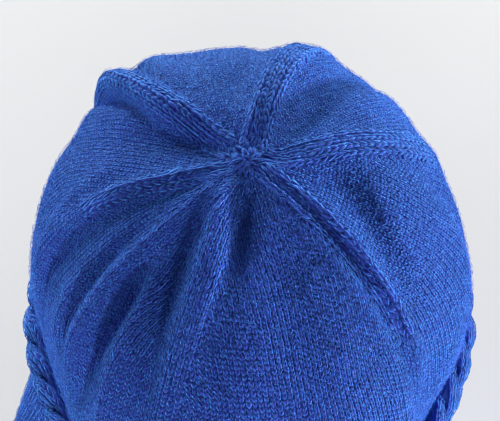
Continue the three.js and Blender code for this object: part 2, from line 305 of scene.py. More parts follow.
# Quads between closed rounds of equal length, in order.
def roundQuads(rounds, count):
    a = np.arange(rounds - 1)[:, None] * count
    column = np.arange(count)[None, :]
    following = (column + 1) % count
    quads = np.stack([a + column, a + count + column, a + count + following, a + following], axis=-1)
    return quads.reshape(-1, 4)


# Quads of an open sheet of points, row by row.
def sheetQuads(rows, columns):
    wide = columns + 1
    a = (np.arange(rows)[:, None] * wide + np.arange(columns)[None, :]).reshape(-1)
    return np.stack([a, a + wide, a + wide + 1, a + 1], axis=-1)


def stepsRound(count, turn=360):
    return np.arange(count) * turn / count


# Whole steps either side of the middle, for a count of columns.
def eitherSide(count):
    return np.arange(count) - (count - 1) / 2


# Distance from the first point of a line to each of its points, or of many lines side by side.
def lengthsAlong(points):
    steps = np.linalg.norm(np.diff(points, axis=0), axis=-1)
    return np.concatenate([0 * steps[:1], np.cumsum(steps, axis=0)])


def declare(piece, node):
    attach(piece, "root")
    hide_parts(node)
    return piece


# Geometry nodes: knit stitches and loose fibres.
# Adds a node and gives back its outputs.
def addNode(tree, kind, inputs=None, **settings):
    node = tree.nodes.new(kind)
    for key, value in settings.items():
        setattr(node, key, value)
    for key, value in (inputs or {}).items():
        if isinstance(value, bpy.types.NodeSocket):
            tree.links.new(value, node.inputs[key])
        else:
            node.inputs[key].default_value = value
    return node.outputs


# Starts a node group. An input is given by its first value, or by its kind where it has none.
def startTree(name, kind, result, inputs):
    tree = bpy.data.node_groups.new(name, kind)
    kinds = {float: "Float", int: "Int", tuple: "Color"}
    for label, value in inputs.items():
        socketKind = "NodeSocket" + kinds.get(type(value), str(value))
        socket = tree.interface.new_socket(label, in_out="INPUT", socket_type=socketKind)
        if type(value) in kinds:
            socket.default_value = value
    tree.interface.new_socket(result[0], in_out="OUTPUT", socket_type="NodeSocket" + result[1])
    return tree, tree.nodes.new("NodeGroupInput").outputs


def endTree(tree, result):
    tree.links.new(result, tree.nodes.new("NodeGroupOutput").inputs[0])
    return tree


def maths(tree, operation, *values):
    return addNode(tree, "ShaderNodeMath", dict(enumerate(values)), operation=operation)[0]


def combined(tree, **parts):
    return addNode(tree, "ShaderNodeCombineXYZ", parts)[0]


def scaled(tree, vector, factor):
    return addNode(tree, "ShaderNodeVectorMath", {0: vector, "Scale": factor}, operation="SCALE")[0]


def between(tree, low, high, seed):
    return addNode(tree, "FunctionNodeRandomValue", {2: low, 3: high, "Seed": seed}, data_type="FLOAT")[1]


def storedVector(tree, name):
    return addNode(tree, "GeometryNodeInputNamedAttribute", {"Name": name}, data_type="FLOAT_VECTOR")[0]


# A three-sided tube along a bend of three points, drawn in at both ends.
def taperedTube(tree, start, middle, end, thickness, weld):
    curve = addNode(tree, "GeometryNodeCurveQuadraticBezier",
                    {"Resolution": 3, "Start": start, "Middle": middle, "End": end})[0]
    factor = addNode(tree, "GeometryNodeSplineParameter")["Factor"]
    taper = maths(tree, "SINE", maths(tree, "MULTIPLY", factor, math.pi))
    section = addNode(tree, "GeometryNodeCurvePrimitiveCircle", {"Resolution": 3, "Radius": thickness},
                      mode="RADIUS")["Curve"]
    tube = addNode(tree, "GeometryNodeCurveToMesh",
                   {"Curve": curve, "Profile Curve": section, "Scale": taper})[0]
    return addNode(tree, "GeometryNodeMergeByDistance", {"Geometry": tube, "Distance": weld})[0]


# Real copies of a part on points, each spun about its own outward direction.
def scatter(tree, part, points, facing, spin, size):
    spun = addNode(tree, "FunctionNodeEulerToRotation", {0: combined(tree, Z=spin)})[0]
    turned = addNode(tree, "FunctionNodeRotateRotation", {0: facing, 1: spun}, rotation_space="LOCAL")[0]
    placed = addNode(tree, "GeometryNodeInstanceOnPoints",
                     {"Points": points, "Instance": part, "Rotation": turned, "Scale": size})[0]
    return addNode(tree, "GeometryNodeRealizeInstances", {0: placed})[0]


def dressed(tree, geometry, material):
    return addNode(tree, "GeometryNodeSetMaterial", {"Geometry": geometry, "Material": material})[0]


# Lengths of a stitch are shares of its width, height and depth; the wobble is in metres.
stitchInputs = {
    "Points": "Geometry",
    "Leg Thickness": 0.245,
    "Leg Spread": 0.30,
    "Leg Overlap": 0.80,
    "Leg Rise": 0.10,
    "Unevenness": 0.16,
    "Twist": 0.26,
    "Wobble": 0.0003,
    "Wobble Scale": 1100.0,
    "Seed": 3,
    "Yarn": "Material",
}
stitchForm = {
    "legStart": {"X": 0.08, "Z": -0.05},
    "legMiddle": 0.175,
    "legEndDepth": -0.08,
    "weld": 0.002,
    "grainDetail": 1.0,
    "grainStrength": 3.0,
}


# One V of two leaning legs is laid on every point, turned by the point's along and outward
# directions and stretched to its size.
def makeStitchTree():
    tree, source = startTree("knitStitches", "GeometryNodeTree", ("Stitches", "Geometry"), stitchInputs)
    below = maths(tree, "MULTIPLY", source["Leg Overlap"], -1.0)
    start = combined(tree, **stitchForm["legStart"], Y=below)
    middle = combined(tree, X=stitchForm["legMiddle"], Z=source["Leg Rise"])
    end = combined(tree, X=source["Leg Spread"], Y=source["Leg Overlap"], Z=stitchForm["legEndDepth"])
    rightLeg = taperedTube(tree, start, middle, end, source["Leg Thickness"], stitchForm["weld"])
    mirrored = addNode(tree, "GeometryNodeTransform", {"Geometry": rightLeg, "Scale": (-1, 1, 1)})[0]
    leftLeg = addNode(tree, "GeometryNodeFlipFaces", {"Mesh": mirrored})[0]
    pair = tree.nodes.new("GeometryNodeJoinGeometry")
    tree.links.new(leftLeg, pair.inputs[0])
    tree.links.new(rightLeg, pair.inputs[0])
    stitch = addNode(tree, "GeometryNodeSetShadeSmooth", {"Geometry": pair.outputs[0]})[0]

    directions = {0: storedVector(tree, "outward"), 1: storedVector(tree, "along")}
    facing = addNode(tree, "FunctionNodeAxesToRotation", directions, primary_axis="Z", secondary_axis="Y")[0]
    low = maths(tree, "SUBTRACT", 1.0, source["Unevenness"])
    high = maths(tree, "ADD", 1.0, source["Unevenness"])
    size = scaled(tree, storedVector(tree, "stitchSize"), between(tree, low, high, source["Seed"]))
    lowTwist = maths(tree, "MULTIPLY", source["Twist"], -1.0)
    spin = between(tree, lowTwist, source["Twist"], source["Seed"])
    knitted = scatter(tree, stitch, source["Points"], facing, spin, size)

    grain = addNode(tree, "ShaderNodeTexNoise",
                    {"Scale": source["Wobble Scale"], "Detail": stitchForm["grainDetail"]})["Color"]
    centred = addNode(tree, "ShaderNodeVectorMath", {0: grain, 1: (0.5, 0.5, 0.5)}, operation="SUBTRACT")[0]
    offset = scaled(tree, scaled(tree, centred, stitchForm["grainStrength"]), source["Wobble"])
    moved = addNode(tree, "GeometryNodeSetPosition", {"Geometry": knitted, "Offset": offset})[0]
    return endTree(tree, dressed(tree, moved, source["Yarn"]))


fibreInputs = {
    "Face": "Geometry",
    "Fibres per Square Metre": 250000.0,
    "Fibre Length": 0.0026,
    "Fibre Thickness": 0.00005,
    "Fibre Bend": 0.25,
    "Fibre Stand": 0.22,
    "Seed": 5,
    "Yarn": "Material",
}
fibreForm = {
    "shortest": 0.6,  # shares of the fibre length
    "longest": 1.4,
    "weld": 0.000004,
}


# Short loose fibres scattered over a face, lying nearly flat on it.
def makeFuzzTree():
    tree, source = startTree("looseFibres", "GeometryNodeTree", ("Fibres", "Geometry"), fibreInputs)
    length, seed = source["Fibre Length"], source["Seed"]
    density = source["Fibres per Square Metre"]
    spread = addNode(tree, "GeometryNodeDistributePointsOnFaces",
                     {"Mesh": source["Face"], "Density": density, "Seed": seed})
    half = maths(tree, "MULTIPLY", length, 0.5)
    bend = maths(tree, "MULTIPLY", length, source["Fibre Bend"])
    stand = maths(tree, "MULTIPLY", length, source["Fibre Stand"])
    start = combined(tree, X=maths(tree, "MULTIPLY", half, -1.0))
    middle = combined(tree, Y=bend, Z=stand)
    end = combined(tree, X=half, Z=stand)
    fibre = taperedTube(tree, start, middle, end, source["Fibre Thickness"], fibreForm["weld"])
    spin = between(tree, -math.pi, math.pi, seed)
    size = between(tree, fibreForm["shortest"], fibreForm["longest"], seed)
    loose = scatter(tree, fibre, spread["Points"], spread["Rotation"], spin, size)
    return endTree(tree, dressed(tree, loose, source["Yarn"]))


def setInput(modifier, label, value):
    for item in modifier.node_group.interface.items_tree:
        if item.item_type == "SOCKET" and item.in_out == "INPUT" and item.name == label:
            modifier[item.identifier] = value


# Bakes a node tree on a mesh into plain geometry and removes the source.
def bakeTree(name, mesh, tree, settings):
    source = addObject(name + "_source", mesh)
    modifier = source.modifiers.new("nodes", "NODES")
    modifier.node_group = tree
    for label, value in settings.items():
        setInput(modifier, label, value)
    graph = bpy.context.evaluated_depsgraph_get()
    baked = bpy.data.meshes.new_from_object(source.evaluated_get(graph))
    baked.name = name
    bpy.data.objects.remove(source)
    bpy.data.meshes.remove(mesh)
    return addObject(name, baked)


def storeVectors(mesh, name, values):
    attribute = mesh.attributes.new(name, "FLOAT_VECTOR", "POINT")
    attribute.data.foreach_set("vector", np.asarray(values, np.float32).ravel())


# A stitch has a centre, along and outward directions, a size and a shade; lengths are millimetres.
def layStitches(name, stitches, settings={}):
    centre = np.asarray(stitches["centre"], np.float32)
    mesh = bpy.data.meshes.new(name + "_points")
    mesh.vertices.add(len(centre))
    mesh.vertices.foreach_set("co", centre.ravel() * mm)
    storeVectors(mesh, "along", stitches["along"])
    storeVectors(mesh, "outward", stitches["outward"])
    storeVectors(mesh, "stitchSize", np.asarray(stitches["size"]) * mm)
    shade = mesh.attributes.new("shade", "FLOAT", "POINT")
    shade.data.foreach_set("value", np.asarray(stitches["shade"], np.float32))
    return bakeTree(name, mesh, stitchTree, {**settings, "Yarn": yarn})


def layFibres(name, face, density):
    return bakeTree(name, face, fuzzTree, {"Fibres per Square Metre": density, "Yarn": highlitFibreWool})


def stitchSet(generator, centre, along, outward, size):
    shade = generator.random(len(centre))
    return {"centre": centre, "along": along, "outward": outward, "size": size, "shade": shade}


def joinStitches(parts):
    return {key: np.concatenate([part[key] for part in parts]) for key in parts[0]}


# Crown: rounds of stitches.
knit = {
    "wale": 1.9,  # stitch width
    "course": 1.42,  # stitch height
    "walesFrom": 1.2,  # narrowest and widest stitch where the gores widen
    "walesTo": 3.2,
    "coursesFrom": 0.9,
    "coursesTo": 3.4,
    "thick": 0.42,  # share of the stitch width
    "settle": 50.0,  # down angle where the gores reach their full count of wales
    "firstRound": 3,
    "stitchLift": 0.05,
    "edgeMargin": 0.6,  # degrees left free of stitches above the lower edge
    "gridTurns": 720,
    "gridRows": 361,
    "gridSkirtRows": 40,
}


# Down angles and distances from the closing point, for lines down the crown all round.
def crownGrid():
    azimuths = stepsRound(knit["gridTurns"])
    skirt = np.linspace(90.5, crownEnd, knit["gridSkirtRows"])
    downs = np.concatenate([np.linspace(0, 90, knit["gridRows"]), skirt])
    return azimuths, downs, lengthsAlong(crownPoint(azimuths[None, :], downs[:, None]))


# Where a ridge crosses a round, followed down its own stations in three steps.
def spokeAzimuth(ridge, azimuths, downs):
    azimuth = ridge["azimuth"][3]
    for _ in range(3):
        azimuth = float(stationValue(ridge["azimuth"], np.interp(azimuth % 360, azimuths, downs)))
    return azimuth % 360


# Half the width of a ridge's strip on a round, narrowed where the spokes crowd together.
def stripHalf(spokes, index, down, length):
    ahead = (spokes[(index + 1) % len(spokes)] - spokes[index]) % length
    behind = (spokes[index] - spokes[index - 1]) % length
    return min(float(stripWidth(ridges[index], down)), 0.5 * min(ahead, behind))


# Every round keeps the same share of the way from the closing point to the join, so all rounds are
# whole. Each one holds its azimuths, down angles and distances round it, and for every ridge its place
# on the round, the down angle there and half its strip's width.
def crownRounds():
    azimuths, downs, arc = crownGrid()
    azimuth = np.append(azimuths, 360.0)
    count = int(arc[-1].mean() / knit["course"])
    rounds = []
    for r in range(count):
        share = (r + 0.5) / count
        down = [np.interp(share * arc[-1, c], arc[:, c], downs) for c in range(len(azimuths))]
        down = np.array([*down, down[0]])
        around = lengthsAlong(crownPoint(azimuth, down))
        spokes = [float(np.interp(spokeAzimuth(ridge, azimuth, down), azimuth, around)) for ridge in ridges]
        spokeDowns = [np.interp(spoke, around, down) for spoke in spokes]
        halves = [stripHalf(spokes, i, spokeDowns[i], around[-1]) for i in range(len(ridges))]
        rounds.append({"azimuth": azimuth, "down": down, "around": around, "spokes": spokes,
                       "spokeDowns": spokeDowns, "halves": halves})
    return rounds


def alongRound(entry, distance):
    azimuth = np.interp(np.mod(distance, entry["around"][-1]), entry["around"], entry["azimuth"])
    return azimuth, np.interp(azimuth, entry["azimuth"], entry["down"])


# Outward direction of the crown's face, folds included.
def crownNormal(azimuth, down):
    step = 0.4
    return faceNormal(crownPoint, azimuth, np.clip(down, 1.0, crownEnd - step), step)


# Stitches at a table of distances along the rounds, a row for each round and a column for each wale.
def placeStitches(rounds, distances, wales, used, lift, thick, generator):
    azimuth, down = np.zeros(distances.shape), np.zeros(distances.shape)
    for r, entry in enumerate(rounds):
        azimuth[r], down[r] = alongRound(entry, distances[r])
    used = used & (down < crownEnd - knit["edgeMargin"])
    points = crownPoint(azimuth, np.minimum(down, crownEnd), lift)
    along = np.zeros_like(points)
    along[1:-1] = (points[:-2] - points[2:]) / 2
    along[0] = points[0] - points[1]
    along[-1] = points[-2] - points[-1]
    tall = np.clip(np.linalg.norm(along, axis=-1), knit["coursesFrom"], knit["coursesTo"])
    wide = (wales + 0 * distances)[used]
    outward = crownNormal(azimuth[used], np.minimum(down[used], crownEnd))
    size = np.stack([wide, tall[used], thick * wide], axis=-1)
    return stitchSet(generator, points[used], unit(along[used]), outward, size)


def goreStitches(rounds, index, generator):
    following = (index + 1) % len(ridges)
    spans = []
    for entry in rounds:
        spokes, halves = entry["spokes"], entry["halves"]
        span = (spokes[following] - spokes[index]) % entry["around"][-1]
        spans.append((spokes[index] + halves[index], span - halves[index] - halves[following]))
    spans = np.array(spans)
    settleRound = next(r for r, entry in enumerate(rounds) if entry["down"].mean() > knit["settle"])
    full = max(int(round(spans[settleRound, 1] / knit["wale"])), 4)
    wale = spans[settleRound, 1] / full
    spacing = np.where(np.arange(len(rounds)) < settleRound, wale, spans[:, 1] / full)[:, None]
    offsets = eitherSide(full)[None, :] * spacing
    distances = spans[:, :1] + spans[:, 1:] / 2 + offsets
    used = np.abs(offsets) < spans[:, 1:] / 2
    used[:knit["firstRound"]] = False
    wales = np.clip(spacing, knit["walesFrom"], knit["walesTo"])
    return placeStitches(rounds, distances, wales, used, knit["stitchLift"], knit["thick"], generator)


# A strip is a few columns of large soft stitches, one to every second round, or of finer ones on
# every round; below its end it is plain knit like the gores.
ridgeKnit = {
    "soft": {"width": 2.7, "columns": 4, "thick": 0.27},
    "fine": {"width": 1.9, "columns": 6, "thick": 0.38},
    "plainColumns": 5,
    "edgeLift": 0.05,
    "middleLift": -0.1,
}


def ridgeStitches(rounds, index, generator):
    ridge = ridges[index]
    middles, downs, halves = [np.array([entry[key][index] for entry in rounds])[:, None]
                              for key in ("spokes", "spokeDowns", "halves")]
    started = (np.arange(len(rounds)) >= knit["firstRound"])[:, None]
    welted = (downs < ridge["end"]) & started
    kind = ridgeKnit["fine" if "fine" in ridge else "soft"]
    fitting = np.clip(np.round(2 * halves / kind["width"]), 1, kind["columns"])
    width = 2 * halves / fitting
    parts = []
    for column in range(kind["columns"]):
        place = middles + (column - (fitting - 1) / 2) * width
        atEdge = (column == 0) | (column == fitting - 1)
        lift = np.where(atEdge, ridgeKnit["edgeLift"], ridgeKnit["middleLift"])
        pick = slice(None) if "fine" in ridge else slice((index + column) % 2, None, 2)
        parts.append(placeStitches(rounds[pick], place[pick], width[pick],
                                   (welted & (column < fitting))[pick], lift[pick], kind["thick"], generator))
    columns = ridgeKnit["plainColumns"]
    offsets = (eitherSide(columns) / (columns / 2))[None, :]
    plain = (downs >= ridge["end"]) & np.ones((1, columns), bool)
    parts.append(placeStitches(rounds, middles + offsets * halves, 2 * halves / columns, plain,
                               knit["stitchLift"], knit["thick"], generator))
    return joinStitches(parts)


# The drawn-in end: short rounds of stitches that point at the closing point.
gather = {
    "rounds": [
        {"radius": 3.4, "stitches": 14, "wide": 1.9, "tall": 3.0, "lift": 0.2},
        {"radius": 1.6, "stitches": 9, "wide": 1.5, "tall": 2.4, "lift": 0.35},
    ],
    "unevenness": 0.5,
    "fall": 0.02,  # how much the rounds drop with the square of their radius
    "thick": 1.7,
}


def gatherStitches(generator):
    parts = []
    apex = crownPoint(0.0, 0.0)
    for ring in gather["rounds"]:
        count = ring["stitches"]
        turns = (np.arange(count) + gather["unevenness"] * generator.random(count)) * 2 * np.pi / count
        toward = -np.stack([np.cos(turns), np.sin(turns), 0 * turns], axis=-1)
        centre = apex - toward * ring["radius"]
        centre[:, 2] = centre[:, 2] + ring["lift"] - gather["fall"] * ring["radius"] ** 2
        size = np.tile([ring["wide"], ring["tall"], gather["thick"]], (count, 1))
        parts.append(stitchSet(generator, centre, toward, np.tile([0.0, 0.0, 1.0], (count, 1)), size))
    return joinStitches(parts)


# Crown: cloth under the stitches, and loose fibres over them.
cloth = {
    "columns": 288,
    "domeRows": 60,
    "skirtRows": 6,
    "firstDown": 1.2,  # the first round of points; the closing point fills what it leaves
    "outerLift": -0.25,
    "innerLift": -2.4,
    "hemRows": 4,
    "hemLevel": 21.0,  # the plain hem ends here, behind the band
    "hemInset": 3.7,
    "hemSteepness": 1.6,  # how soon on its way down the hem is drawn in
}

fuzz = {
    "lift": 0.35,
    "columns": 180,
    "rows": 60,
    "firstDown": 3,
    "density": 250000.0,  # fibres per square metre
}


# The hem's part runs from 0 at the crown's lower edge to 1 at its own lower edge.
def hemPoint(azimuth, part, lift):
    start = crownPoint(azimuth, crownEnd, lift)
    reach = planRadius(azimuth) - cloth["hemInset"] + lift - cloth["outerLift"]
    end = planPoint(azimuth, reach, cloth["hemLevel"])
    inward = np.minimum(part * cloth["hemSteepness"], 1.0)
    points = start + (end - start) * inward[..., None]
    points[..., 2] = start[..., 2] + (end - start)[..., 2] * part
    return points


# A wall of two faces, closed at the drawn-in end and joined along the bottom.
def crownClothMesh():
    count = cloth["columns"]
    dome = np.linspace(cloth["firstDown"], 90, cloth["domeRows"])
    downs = np.concatenate([dome, np.linspace(93, crownEnd, cloth["skirtRows"])])
    azimuths = stepsRound(count)
    parts = np.arange(1, cloth["hemRows"] + 1) / cloth["hemRows"]
    around, parts = np.broadcast_arrays(azimuths[None, :], parts[:, None])
    outer = crownPoint(azimuths[None, :], downs[:, None], cloth["outerLift"])
    inner = crownPoint(azimuths[None, :], downs[::-1, None], cloth["innerLift"])
    outerHem = hemPoint(around, parts, cloth["outerLift"])
    innerHem = hemPoint(around, parts, cloth["innerLift"])[::-1]
    points = np.concatenate([rows.reshape(-1, 3) for rows in (outer, outerHem, innerHem, inner)])
    mesh = makeMesh("crown_cloth", points, roundQuads(2 * (len(downs) + cloth["hemRows"]), count))
    shell = bmesh.new()
    shell.from_mesh(mesh)
    shell.verts.ensure_lookup_table()
    rings = [shell.verts[first:first + count] for first in (0, len(points) - count)]
    for ring in rings:
        middle = shell.verts.new(sum((v.co for v in ring), Vector()) / count)
        for i in range(count):
            shell.faces.new((ring[i], ring[(i + 1) % count], middle)).smooth = True
    bmesh.ops.recalc_face_normals(shell, faces=shell.faces)
    shell.to_mesh(mesh)
    shell.free()
    return mesh


def crownFuzzFace():
    downs = np.linspace(fuzz["firstDown"], crownEnd - 1, fuzz["rows"])
    points = crownPoint(stepsRound(fuzz["columns"])[None, :], downs[:, None], fuzz["lift"])
    return makeMesh("fuzzFace", points.reshape(-1, 3), roundQuads(fuzz["rows"], fuzz["columns"]))


# Band: three strands plaited round the rim.
band = {
    "plaits": 13,  # full turns of the plait round the head
    "middleLevel": 15.7,
    "startTurn": 0.0095,  # share of the way round at which the plait starts
    "middleOut": 2.3,  # strand middles, outward of the crown's widest line
    "swingUp": 7.8,  # how far a strand swings up and down
    "swingOut": 1.9,
    "swingDegrees": 36.0,  # how far a strand turns over the rounded edge
    "edgeDepth": 4.0,
    "strandHalfWidth": 6.3,
    "strandHalfThick": 3.0,
    "strandLift": -0.35,  # the strand's cloth, below its stitches
    "backingOut": 0.0,  # middle of the plain knit the plait is sewn on
    "backingHalfThick": 3.0,
    "backingHalfHeight": 12.6,
    "backingSquareness": 2.0,
    "backingColumns": 300,
    "backingSides": 20,
    "turnsPerPlait": 26,  # sections of a strand for one full turn
    "sectionSides": 14,
    "rimSections": 1440,
    "pathSections": 6000,
    "wale": 2.3,
    "course": 1.9,
    "coursesFrom": 1.2,
    "coursesTo": 3.2,
    "thick": 0.8,
    "stitchColumns": 6,
    "stitchReach": 0.82,  # share of the strand's half turn that the columns cover
    "fuzzDensity": 40000.0,
}


def rimPoint(azimuth, out=0.0):
    return planPoint(azimuth, planRadius(azimuth) + out, 0.0)


def rimNormal(azimuth):
    step = 0.3
    along = unit(rimPoint(azimuth + step) - rimPoint(azimuth - step))
    return np.stack([along[..., 1], -along[..., 0], 0 * along[..., 0]], axis=-1)


# Point straight out from the crown's widest line, at a level.
def outPoint(azimuth, out, level):
    point = rimPoint(azimuth) + rimNormal(azimuth) * out[..., None]
    point[..., 2] = level
    return point


# Middle line of one strand for a share of the way round, with the directions across and outward. It
# lies on the band's rounded face, turning over the upper edge and under the lower one.
def strandFrame(share, strand):
    azimuths = np.linspace(0, 360, band["rimSections"] + 1)
    around = lengthsAlong(rimPoint(azimuths, band["middleOut"]))
    most = math.radians(band["swingDegrees"])
    tall = band["swingUp"] / math.sin(most)

    def place(part):
        azimuth = np.interp(np.mod(part, 1.0) * around[-1], around, azimuths)
        phase = 2 * np.pi * (band["plaits"] * (part - band["startTurn"]) + strand / 3)
        roll = most * np.sin(phase)
        out = band["middleOut"] + band["edgeDepth"] * (np.cos(roll) - 1)
        out = out + band["swingOut"] * np.sin(2 * phase)
        face = rimNormal(azimuth) * (np.cos(roll) / band["edgeDepth"])[..., None]
        face[..., 2] = np.sin(roll) / tall
        return outPoint(azimuth, out, band["middleLevel"] + tall * np.sin(roll)), unit(face)

    step = 1e-4
    point, normal = place(share)
    forward = unit(place(share + step)[0] - place(share - step)[0])
    across = unit(np.cross(normal, forward))
    return point, across, np.cross(forward, across)


def strandPoint(share, strand, turn, lift):
    point, across, outward = strandFrame(share, strand)
    wide = (band["strandHalfWidth"] + lift) * np.cos(turn)
    high = (band["strandHalfThick"] + lift) * np.sin(turn)
    return point + across * wide[..., None] + outward * high[..., None], across, outward


def strandMesh():
    rounds, sides = band["plaits"] * band["turnsPerPlait"], band["sectionSides"]
    share = np.repeat(np.arange(rounds) / rounds, sides)
    turn = np.tile(stepsRound(sides, 2 * np.pi), rounds)
    ring = np.arange(rounds)[:, None] * sides
    nextRing = np.roll(ring, -1, axis=0)
    side = np.arange(sides)[None, :]
    nextSide = np.roll(side, -1, axis=1)
    quads = np.stack([ring + side, ring + nextSide, nextRing + nextSide, nextRing + side], axis=-1)
    quads = quads.reshape(-1, 4)
    points = [strandPoint(share, strand, turn, band["strandLift"])[0] for strand in range(3)]
    tubes = [quads + strand * rounds * sides for strand in range(3)]
    return makeMesh("band_strands", np.concatenate(points), np.concatenate(tubes))


def rounded(value, power):
    return np.sign(value) * np.abs(value) ** power


def backingMesh():
    count, sides = band["backingColumns"], band["backingSides"]
    azimuth = stepsRound(count)[:, None]
    turn = stepsRound(sides, 2 * np.pi)[None, :]
    power = 2 / band["backingSquareness"]
    out = band["backingOut"] + band["backingHalfThick"] * rounded(np.cos(turn), power)
    high = band["middleLevel"] + band["backingHalfHeight"] * rounded(np.sin(turn), power)
    points = outPoint(*np.broadcast_arrays(azimuth, out, high)).transpose(1, 0, 2)
    return makeMesh("band_backing", points.reshape(-1, 3), roundQuads(sides + 1, count) % (sides * count))


def strandStitches(generator):
    parts = []
    fine = np.linspace(0, 1, band["pathSections"] + 1)
    columns = band["stitchColumns"]
    for strand in range(3):
        length = lengthsAlong(strandFrame(fine, strand)[0])
        count = int(length[-1] / band["course"])
        shares = np.interp((np.arange(count) + 0.5) * length[-1] / count, length, fine)
        for place in eitherSide(columns):
            turn = math.pi * (0.5 + band["stitchReach"] * place / (columns - 1))
            here, across, outward = strandPoint(shares, strand, np.full(count, turn), 0.0)
            ahead = np.roll(here, -1, axis=0) - here
            tall = np.clip(np.linalg.norm(ahead, axis=-1), band["coursesFrom"], band["coursesTo"])
            size = np.stack([np.full(count, band["wale"]), tall, np.full(count, band["thick"])], axis=-1)
            face = unit(across * (math.cos(turn) / band["strandHalfWidth"])
                        + outward * (math.sin(turn) / band["strandHalfThick"]))
            parts.append(stitchSet(generator, here, unit(ahead), face, size))
    return joinStitches(parts)


# Earflaps.
flap = {
    "gap": 0.3,
    "length": 84.0,
    "topWidth": 106.0,
    "tipWidth": 62.0,
    "roundStart": 0.55,
    "roundDepth": 0.97,  # how much of the tip's width the rounding takes
    "topProud": 1.2,
    "wall": 3.2,
    "wale": 2.9,
    "course": 2.1,
    "thick": 2.4,
    "narrowing": 0.5,  # share of the flap's narrowing that its columns follow
    "edgeMargin": 0.7,  # outline left free of stitches
    "hollowLevel": -40.0,  # the stitches face away from the middle of the hat at this level
    "clothColumns": 44,
    "clothRows": 40,
    "clothDepth": 0.35,  # outer face of the cloth, behind the stitches
    "clothInner": 0.2,  # inner face, in front of the wall's back
    "hemRows": 3,
    "hemTall": 7.6,  # the plain hem laps up behind the band
    "hemInset": 5.0,
    "hemSteepness": 1.4,
    "fuzzLift": 0.4,
    "fuzzEnd": 0.995,
    "fuzzDensity": 150000.0,
    "yarn": {"Leg Spread": 0.25, "Leg Thickness": 0.215},
}

flaps = [
    {"name": "earflap_left", "middle": 176.0, "flare": 24.0, "flareToFront": 17.0},
    {"name": "earflap_right", "middle": 4.0, "flare": -3.0, "flareToFront": 0.0},
]


def flapWidth(part):
    return flap["topWidth"] + (flap["tipWidth"] - flap["topWidth"]) * part


def flapHalfWidth(part):
    rounding = np.maximum((part - flap["roundStart"]) / (1 - flap["roundStart"]), 0)
    return flapWidth(part) / 2 * np.sqrt(np.maximum(1 - flap["roundDepth"] * rounding ** 2, 0))


# Rows of a flap's cloth, closer together towards its tip.
def flapRows():
    rows = flap["clothRows"]
    return np.sin(np.pi / 2 * np.arange(rows + 1) / rows)


# Point of a flap's outer face: distance across in millimetres, part from 0 at the band to 1 at the tip.
def flapPoint(shape, across, part, depth=0.0):
    middle = np.asarray(shape["middle"])
    azimuth = middle + np.degrees(across / planRadius(middle))
    share = across / (flap["topWidth"] / 2)
    flare = (shape["flare"] + shape["flareToFront"] * share) * part
    radius = planRadius(azimuth) + flap["topProud"] + flare - depth
    return planPoint(azimuth, radius, 0.0) + np.stack(
        [0 * part, 0 * part, -flap["gap"] - flap["length"] * part], axis=-1)


# Outer and inner faces of a flap's cloth, with its plain hem as the first rows.
def flapFaces(shape):
    hem = -flap["hemTall"] / flap["length"] * np.linspace(1, 0, flap["hemRows"], endpoint=False)
    part = np.concatenate([hem, flapRows()])[:, None]
    share = np.linspace(-1, 1, flap["clothColumns"] + 1)[None, :]
    across = share * flapHalfWidth(np.maximum(part, 0))
    part = part + 0 * share
    behind = -flap["hemSteepness"] * np.minimum(part, 0) * flap["length"] / flap["hemTall"]
    inset = flap["hemInset"] * np.minimum(behind, 1)
    depths = (flap["clothDepth"], flap["wall"] - flap["clothInner"])
    return [flapPoint(shape, across, part, depth + inset) for depth in depths]


def flapClothMesh(shape):
    outer, inner = flapFaces(shape)
    rows, columns = outer.shape[0] - 1, outer.shape[1] - 1
    outer, inner = outer.reshape(-1, 3), inner.reshape(-1, 3)
    wide, count = columns + 1, len(outer)
    front = sheetQuads(rows, columns)
    back = front[:, ::-1] + count
    edge = [*range(0, rows * wide, wide), *range(rows * wide, rows * wide + columns),
            *range(rows * wide + columns, columns, -wide), *range(columns, 0, -1)]
    edge = np.array(edge)
    following = np.roll(edge, -1)
    rim = np.stack([edge, edge + count, following + count, following], axis=-1)
    points = np.concatenate([outer, inner])
    return makeMesh(shape["name"] + "_cloth", points, np.concatenate([front, back, rim]))


def flapFuzzFace(shape):
    part = flapRows()[:, None] * flap["fuzzEnd"]
    share = np.linspace(-1, 1, flap["clothColumns"] + 1)[None, :]
    points = flapPoint(shape, share * flapHalfWidth(part), part + 0 * share, -flap["fuzzLift"])
    return makeMesh("fuzzFace", points.reshape(-1, 3), sheetQuads(flap["clothRows"], flap["clothColumns"]))


def flapStitches(shape, generator):
    rows = int(flap["length"] / flap["course"])
    columns = int(flap["topWidth"] / flap["wale"])
    part = ((np.arange(rows) + 0.5) / rows)[:, None]
    narrowed = flapWidth(part) / flap["topWidth"]
    across = (eitherSide(columns) * flap["wale"])[None, :]
    across = across * (1 - flap["narrowing"] + flap["narrowing"] * narrowed)
    part = part + 0 * across
    points = flapPoint(shape, across, part)
    used = np.abs(across) < flapHalfWidth(part) - flap["edgeMargin"]
    along = unit(points - np.roll(points, -1, axis=0))
    along[-1] = along[-2]
    sideways = np.gradient(points, axis=1)
    outward = unit(np.cross(unit(sideways), along))
    hollow = np.array([0, hat["widestLineY"], flap["hollowLevel"]])
    outward = outward * np.where(np.sum(outward * (points - hollow), axis=-1) < 0, -1, 1)[..., None]
    width = np.linalg.norm(sideways, axis=-1)
    tall = np.linalg.norm(np.gradient(points, axis=0), axis=-1)
    size = np.stack([width, tall, 0 * width + flap["thick"]], axis=-1)
    return stitchSet(generator, points[used], along[used], outward[used], size[used])


